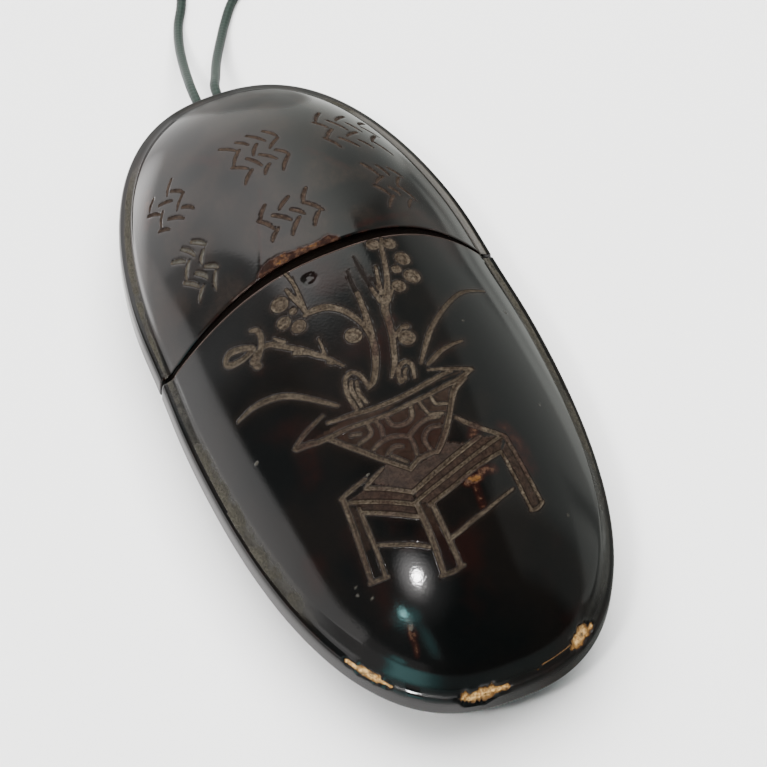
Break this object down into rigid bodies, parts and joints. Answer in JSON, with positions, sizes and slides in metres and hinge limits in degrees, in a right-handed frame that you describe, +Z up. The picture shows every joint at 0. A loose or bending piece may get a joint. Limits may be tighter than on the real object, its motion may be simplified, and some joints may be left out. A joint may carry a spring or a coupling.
{
  "type": "seal case",
  "caption": "Small domed oval case of dark lacquered wood for a seal, carved on its front, with a slip-on lid and a looped silk cord.",
  "frame": {"origin": "on the surface that the case lies on, under the middle of the case without its cord", "axes": "+Y along the case toward the lid's end, +X to the right as the carved front is read, +Z up through the carved front"},
  "size_m": [0.0448, 0.1304, 0.026],
  "materials": {
    "lacquered_wood": "near-black brown lacquer over carved wood, glossy, with worn tan chips along the rim",
    "silk_cord": "grey-green plaited silk"
  },
  "bodies": {
    "root": {"case_body": "lacquered_wood", "lid": "lacquered_wood", "cord_left": "silk_cord", "cord_right": "silk_cord", "cord_coil": "silk_cord", "cord_tie": "silk_cord"}
  },
  "joints": []
}
